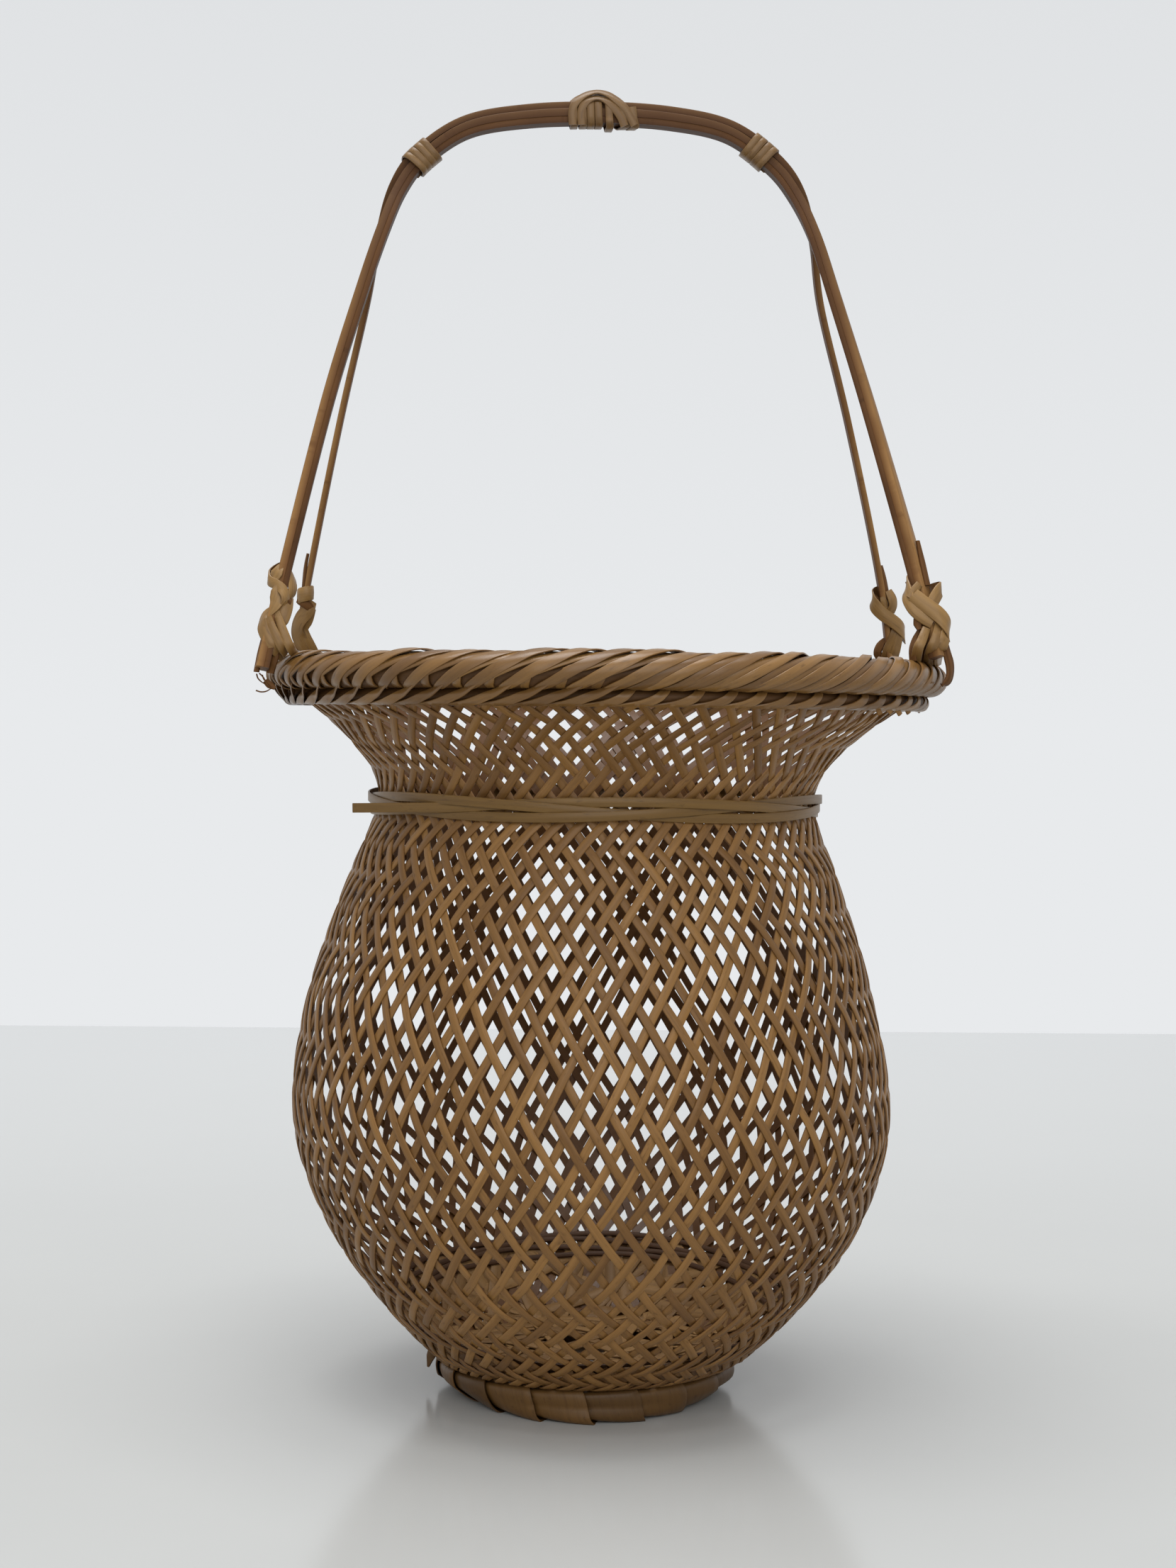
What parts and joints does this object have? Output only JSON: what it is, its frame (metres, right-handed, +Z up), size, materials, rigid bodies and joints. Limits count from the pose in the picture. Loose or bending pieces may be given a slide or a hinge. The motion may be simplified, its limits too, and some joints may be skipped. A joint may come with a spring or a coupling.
{
  "type": "ikebana basket",
  "caption": "Open plaited bamboo flower basket with a round belly, a tied neck, a flared rim wound like a rope, a foot ring and a tall arched handle on splayed legs.",
  "frame": {"origin": "on the floor under the middle of the foot ring", "axes": "+Z up to the crown of the handle, +X to the right and -Y to the front as the basket is seen in its picture"},
  "size_m": [0.2122, 0.2122, 0.41],
  "materials": {
    "splint_bamboo": "satin",
    "splint_bamboo_left": "satin",
    "base_bamboo": "satin",
    "hoop_bamboo": "satin",
    "lining_bamboo": "satin",
    "lashing_bamboo": "satin",
    "wrap_bamboo": "satin"
  },
  "bodies": {
    "root": {"weave_right_splints": "splint_bamboo", "weave_left_splints": "splint_bamboo_left", "foot_wrap": "wrap_bamboo", "foot_core_hoop": "lining_bamboo", "base_plait": "base_bamboo", "base_hoop": "lining_bamboo", "neck_tie_strand_a": "lashing_bamboo", "neck_tie_strand_b": "lashing_bamboo", "neck_tie_strand_c": "lashing_bamboo", "rim_roll": "lashing_bamboo", "rim_lower_braid": "splint_bamboo", "handle_front_hoop": "hoop_bamboo", "handle_front_lining": "lining_bamboo", "handle_back_hoop": "lining_bamboo", "crown_knot_wrap": "lashing_bamboo", "crown_knot_loop": "lashing_bamboo", "shoulder_lashing_left": "lashing_bamboo", "shoulder_lashing_right": "lashing_bamboo", "leg_spur_front_left": "lining_bamboo", "leg_spur_front_right": "lining_bamboo", "leg_spur_back_left": "lining_bamboo", "leg_spur_back_right": "lining_bamboo", "ankle_lashing_front_left": "lashing_bamboo", "ankle_lashing_front_right": "lashing_bamboo", "ankle_lashing_back_left": "lashing_bamboo", "ankle_lashing_back_right": "lashing_bamboo"}
  },
  "joints": []
}
